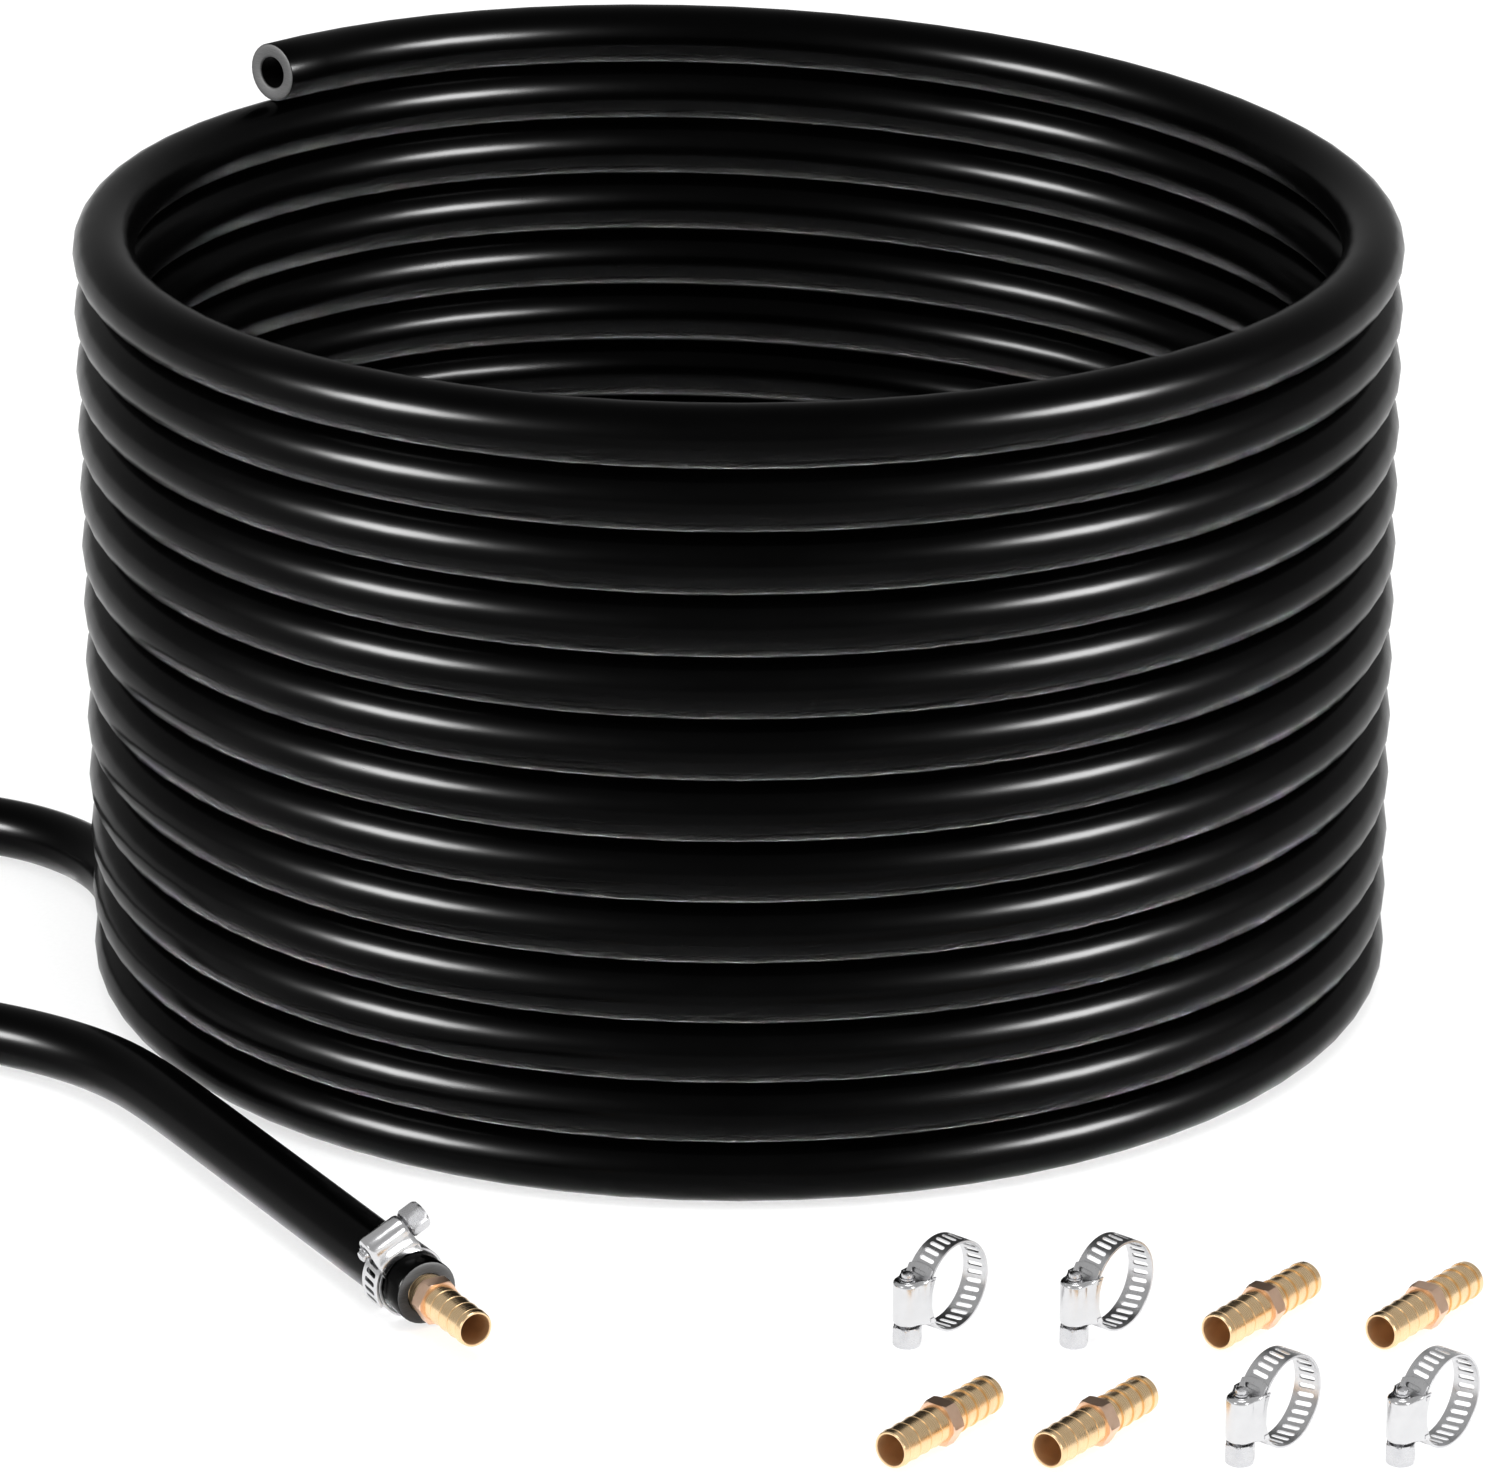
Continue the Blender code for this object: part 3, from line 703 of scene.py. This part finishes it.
def place_loose_pieces():
    along = heading_vector(OPEN_CLAMP_HEADING)
    for number, (x, y) in enumerate(OPEN_CLAMP_PLACES, 1):
        place = COIL_CENTRE + Vector((x * MM, y * MM, OPEN_BAND_RADIUS + BAND_THICKNESS))
        ring = basis(UP * -1, (along * -1).cross(UP * -1), along * -1, place)
        make_clamp("clamp_%d" % number, ring, OPEN_BAND_RADIUS, *OPEN_FREE_END)
    lying = heading_vector(SPLICER_HEADING)
    for number, (x, y) in enumerate(SPLICER_PLACES, 1):
        place = COIL_CENTRE + Vector((x * MM, y * MM, NUT_FLATS / 2))
        name = "splicer_%d" % number
        make_splicer(name, basis(UP, lying.cross(UP), lying, place), name)


# Materials ------------------------------------------------------------------------------------

class Nodes:
    """A Principled material whose colour, roughness and bump come from noise in one coordinate."""

    def __init__(self, name, metallic=0.0, specular=0.5):
        self.material = bpy.data.materials.new(name)
        self.material.use_nodes = True
        self.tree = self.material.node_tree
        self.shader = self.tree.nodes["Principled BSDF"]
        self.shader.inputs["Metallic"].default_value = metallic
        self.shader.inputs["Specular IOR Level"].default_value = specular

    def add(self, kind, **settings):
        node = self.tree.nodes.new(kind)
        for key, value in settings.items():
            setattr(node, key, value)
        return node

    def link(self, source, target):
        self.tree.links.new(source, target)

    def coordinate(self, scale, attribute=None):
        if attribute:
            source = self.add("ShaderNodeAttribute", attribute_name=attribute).outputs["Vector"]
        else:
            source = self.add("ShaderNodeTexCoord").outputs["Object"]
        mapping = self.add("ShaderNodeMapping")
        mapping.inputs["Scale"].default_value = scale
        self.link(source, mapping.inputs["Vector"])
        return mapping.outputs["Vector"]

    def noise(self, coordinate, detail=3.0, roughness=0.55):
        texture = self.add("ShaderNodeTexNoise")
        texture.inputs["Scale"].default_value = 1.0
        texture.inputs["Detail"].default_value = detail
        texture.inputs["Roughness"].default_value = roughness
        self.link(coordinate, texture.inputs["Vector"])
        return texture.outputs["Fac"]

    def span(self, value, low, high, start=0.3, end=0.7):
        node = self.add("ShaderNodeMapRange")
        for key, number in (("From Min", start), ("From Max", end), ("To Min", low), ("To Max", high)):
            node.inputs[key].default_value = number
        self.link(value, node.inputs["Value"])
        return node.outputs["Result"]

    def blend(self, value, first, second):
        node = self.add("ShaderNodeMix", data_type="RGBA")
        node.inputs["A"].default_value = (*first, 1.0)
        node.inputs["B"].default_value = (*second, 1.0)
        self.link(value, node.inputs["Factor"])
        return node.outputs["Result"]

    def bump(self, layers):
        """Adds bump layers, each (height, depth in metres, strength)."""
        normal = None
        for height, depth, strength in layers:
            node = self.add("ShaderNodeBump")
            node.inputs["Strength"].default_value = strength
            node.inputs["Distance"].default_value = depth
            self.link(height, node.inputs["Height"])
            if normal:
                self.link(normal, node.inputs["Normal"])
            normal = node.outputs["Normal"]
        self.link(normal, self.shader.inputs["Normal"])

    def colour(self, value, first, second):
        self.link(self.blend(value, first, second), self.shader.inputs["Base Color"])

    def roughness(self, value, low, high):
        self.link(self.span(value, low, high), self.shader.inputs["Roughness"])


def rubber_skin():
    """Smooth black rubber with faint lines drawn along the hose by the die, and slight bloom."""
    nodes = Nodes("rubber_skin", specular=0.035)
    lines = nodes.noise(nodes.coordinate((1600.0, 1600.0, 9.0), "skin"), 2.0)
    patches = nodes.noise(nodes.coordinate((90.0, 90.0, 30.0), "skin"), 3.0)
    nodes.colour(nodes.span(patches, 0.0, 1.0), (0.0004, 0.0004, 0.00042), (0.0011, 0.0011, 0.00115))
    nodes.roughness(patches, 0.22, 0.25)
    nodes.bump(((lines, 0.0000015, 0.1), (patches, 0.000006, 0.08)))
    return nodes.material


def bore_rubber():
    """The dull inside of the hose."""
    nodes = Nodes("bore_rubber", specular=0.02)
    patches = nodes.noise(nodes.coordinate((260.0, 260.0, 60.0), "skin"), 3.0)
    nodes.colour(nodes.span(patches, 0.0, 1.0), (0.0010, 0.0010, 0.0010), (0.0024, 0.0024, 0.0025))
    nodes.roughness(patches, 0.60, 0.72)
    nodes.bump(((patches, 0.00003, 0.2),))
    return nodes.material


def cut_rubber():
    """The sawn face of the hose: matt, dark grey, with fine knife marks."""
    nodes = Nodes("cut_rubber", specular=0.25)
    grain = nodes.noise(nodes.coordinate((5200.0, 5200.0, 5200.0)), 4.0)
    marks = nodes.noise(nodes.coordinate((300.0, 300.0, 4200.0)), 2.0)
    nodes.colour(nodes.span(marks, 0.0, 1.0), (0.030, 0.030, 0.031), (0.052, 0.052, 0.053))
    nodes.roughness(grain, 0.55, 0.75)
    nodes.bump(((marks, 0.00008, 0.4), (grain, 0.00004, 0.4)))
    return nodes.material


def rolled_steel(name, scale, light, dark, low, high):
    """Bright steel with rolling or drawing lines along the direction of the smallest scale."""
    nodes = Nodes(name, metallic=1.0)
    lines = nodes.noise(nodes.coordinate(scale), 3.0)
    smudges = nodes.noise(nodes.coordinate((260.0, 260.0, 260.0)), 2.0)
    nodes.colour(nodes.span(smudges, 0.0, 1.0), light, dark)
    nodes.roughness(lines, low, high)
    nodes.bump(((lines, 0.00001, 0.35),))
    return nodes.material


def turned_brass(name, light, dark, low, high, around):
    """Brass with fine lathe lines round its axis."""
    nodes = Nodes(name, metallic=1.0)
    lines = nodes.noise(nodes.coordinate((around, around, 5200.0)), 3.0, 0.65)
    smudges = nodes.noise(nodes.coordinate((330.0, 330.0, 330.0)), 3.0)
    nodes.colour(nodes.span(smudges, 0.0, 1.0), light, dark)
    nodes.roughness(lines, low, high)
    nodes.bump(((lines, 0.000012, 0.4),))
    return nodes.material


def floor_paper():
    """Matt white paper."""
    nodes = Nodes("floor_paper", specular=0.0)
    fibres = nodes.noise(nodes.coordinate((700.0, 700.0, 700.0)), 2.0)
    nodes.colour(nodes.span(fibres, 0.0, 1.0), (0.86, 0.86, 0.86), (0.88, 0.88, 0.88))
    nodes.shader.inputs["Roughness"].default_value = 0.9
    return nodes.material


BAND_STEEL = rolled_steel(
    "band_steel", (500.0, 5200.0, 500.0), (0.72, 0.72, 0.73), (0.66, 0.66, 0.67), 0.26, 0.36)
HOUSING_STEEL = rolled_steel(
    "housing_steel", (420.0, 3600.0, 3600.0), (0.72, 0.72, 0.73), (0.67, 0.67, 0.68), 0.17, 0.25)
SCREW_STEEL = rolled_steel(
    "screw_steel", (3600.0, 700.0, 700.0), (0.68, 0.68, 0.69), (0.61, 0.61, 0.63), 0.22, 0.32)
BRASS = turned_brass("turned_brass", (0.97, 0.72, 0.43), (0.91, 0.64, 0.36), 0.22, 0.33, 60.0)
NUT_BRASS = turned_brass("nut_brass", (0.92, 0.65, 0.48), (0.84, 0.56, 0.40), 0.28, 0.40, 900.0)
# Inside the bore: the same brass made slightly paler as painted light, to brighten the shaded bore, and
# rougher than the outside
PAINTED_LIGHT_BORE_BRASS = turned_brass("bore_brass_painted_light", (0.98, 0.72, 0.45), (0.92, 0.64, 0.38), 0.48, 0.60, 60.0)

HOSE = make_hose((rubber_skin(), cut_rubber(), bore_rubber()))
place_fitted_pieces()
place_loose_pieces()


# Floor and lights -----------------------------------------------------------------------------

STREAK_DISTANCE = 4.0
STREAK_FROM = Vector((-0.689, -0.651, 0.319))
STREAK_TO = Vector((-0.904, -0.283, 0.319))
STREAK_WIDTH = 1.15
STREAK_POWER = 1450.0
STREAK_AIM = COIL_CENTRE + UP * 0.12
# Under lights: (name, distance behind the coil's middle, length, radiance)
UNDER_LIGHTS = (("under", 0.0, 5.0, 0.8), ("under_back", 1.6, 2.2, 0.5))
UNDER_SIZE = 5.0
UNDER_DEPTH = 1.6
FLOOR_WASH = 2.5
FLOOR_SIZE = 6.0
FLOOR_DROP = 0.2 * MM
WORLD_STRENGTH = 0.45
WHITE = (1.0, 1.0, 1.0, 1.0)
# Soft lamps: (name, place, aim, size, power, whether it reaches the floor as well as the fittings)
SOFT_LAMPS = (
    ("top", (0.3, -0.5, 2.4), (0.1, -0.1, 0.0), (1.3, 1.3), 13.0, True),
    ("front_left", (-1.6, -1.7, 0.9), (0.1, -0.2, 0.0), (0.9, 1.1), 4.0, False),
    ("front_right", (1.5, -1.8, 0.7), (0.1, -0.2, 0.0), (0.7, 0.9), 6.5, False),
)


def make_floor():
    bm = bmesh.new()
    bmesh.ops.create_grid(bm, x_segments=1, y_segments=1, size=FLOOR_SIZE)
    mesh = bpy.data.meshes.new("floor")
    bm.to_mesh(mesh)
    bm.free()
    floor = add_object("floor", mesh, [floor_paper()])
    floor.location.z = -FLOOR_DROP
    return floor


def receivers(name, objects):
    """A collection, left out of the scene, that says which objects a light reaches."""
    group = bpy.data.collections.new(name)
    for obj in objects:
        group.objects.link(obj)
    return group


def new_light(name, kind, place, power, reaches):
    data = bpy.data.lights.new(name, kind)
    data.energy = power
    light = bpy.data.objects.new(name, data)
    bpy.context.scene.collection.objects.link(light)
    light.location = place
    light.light_linking.receiver_collection = reaches
    return light


def area_light(name, place, aim, size, power, reaches, along=None):
    """An oval lamp turned to its aim, with its long side along the given direction, if any."""
    light = new_light(name, "AREA", place, power, reaches)
    light.data.shape = "ELLIPSE"
    light.data.size, light.data.size_y = size
    back = (Vector(place) - Vector(aim)).normalized()
    if along is None:
        light.rotation_euler = back.to_track_quat("Z", "Y").to_euler()
    else:
        long_axis = (along - back * along.dot(back)).normalized()
        light.matrix_world = basis(long_axis, back.cross(long_axis), back, Vector(place))
    return light


def make_streak_lights(reaches):
    """Two long lamps, mirrored left and right, that only the hose's gloss shows."""
    for side, name in ((1.0, "streak_left"), (-1.0, "streak_right")):
        first = Vector((STREAK_FROM.x * side, STREAK_FROM.y, STREAK_FROM.z)).normalized()
        second = Vector((STREAK_TO.x * side, STREAK_TO.y, STREAK_TO.z)).normalized()
        place = STREAK_AIM + (first + second).normalized() * STREAK_DISTANCE
        size = ((second - first).length * STREAK_DISTANCE, STREAK_WIDTH)
        light = area_light(name, place, STREAK_AIM, size, STREAK_POWER, reaches, second - first)
        light.visible_diffuse = False


def make_under_lights(reaches):
    """The pale floor's light on the underside of each turn, which the turn below would shade."""
    across = Vector((1.0, 0.0, 0.0))
    for name, behind, length, radiance in UNDER_LIGHTS:
        place = COIL_CENTRE + Vector((0.0, behind, -UNDER_DEPTH))
        power = radiance * math.pi * math.pi * UNDER_SIZE * length / 4
        light = area_light(name, place, place + UP, (UNDER_SIZE, length), power, reaches, across)
        light.data.use_shadow = False
        light.data.cycles.use_multiple_importance_sampling = False
        light.visible_diffuse = False
        light.visible_camera = False


def make_world():
    world = bpy.data.worlds.new("studio")
    world.use_nodes = True
    background = world.node_tree.nodes["Background"]
    background.inputs["Color"].default_value = WHITE
    background.inputs["Strength"].default_value = WORLD_STRENGTH
    bpy.context.scene.world = world


def make_lights():
    floor = make_floor()
    meshes = [obj for obj in bpy.context.scene.objects if obj.type == "MESH"]
    fittings = [obj for obj in meshes if obj not in (HOSE, floor)]
    on_hose = receivers("reached_hose", [HOSE])
    on_floor = receivers("reached_floor", [floor])
    on_fittings = receivers("reached_fittings", fittings)
    on_rest = receivers("reached_rest", fittings + [floor])
    make_streak_lights(on_hose)
    make_under_lights(on_hose)
    wash = new_light("floor_wash", "SUN", (0.0, 0.0, 3.0), FLOOR_WASH, on_floor)
    wash.data.use_shadow = False
    for name, place, aim, size, power, on_both in SOFT_LAMPS:
        area_light(name, place, aim, size, power, on_rest if on_both else on_fittings)


make_world()
make_lights()
bpy.context.scene.view_settings.view_transform = "Standard"
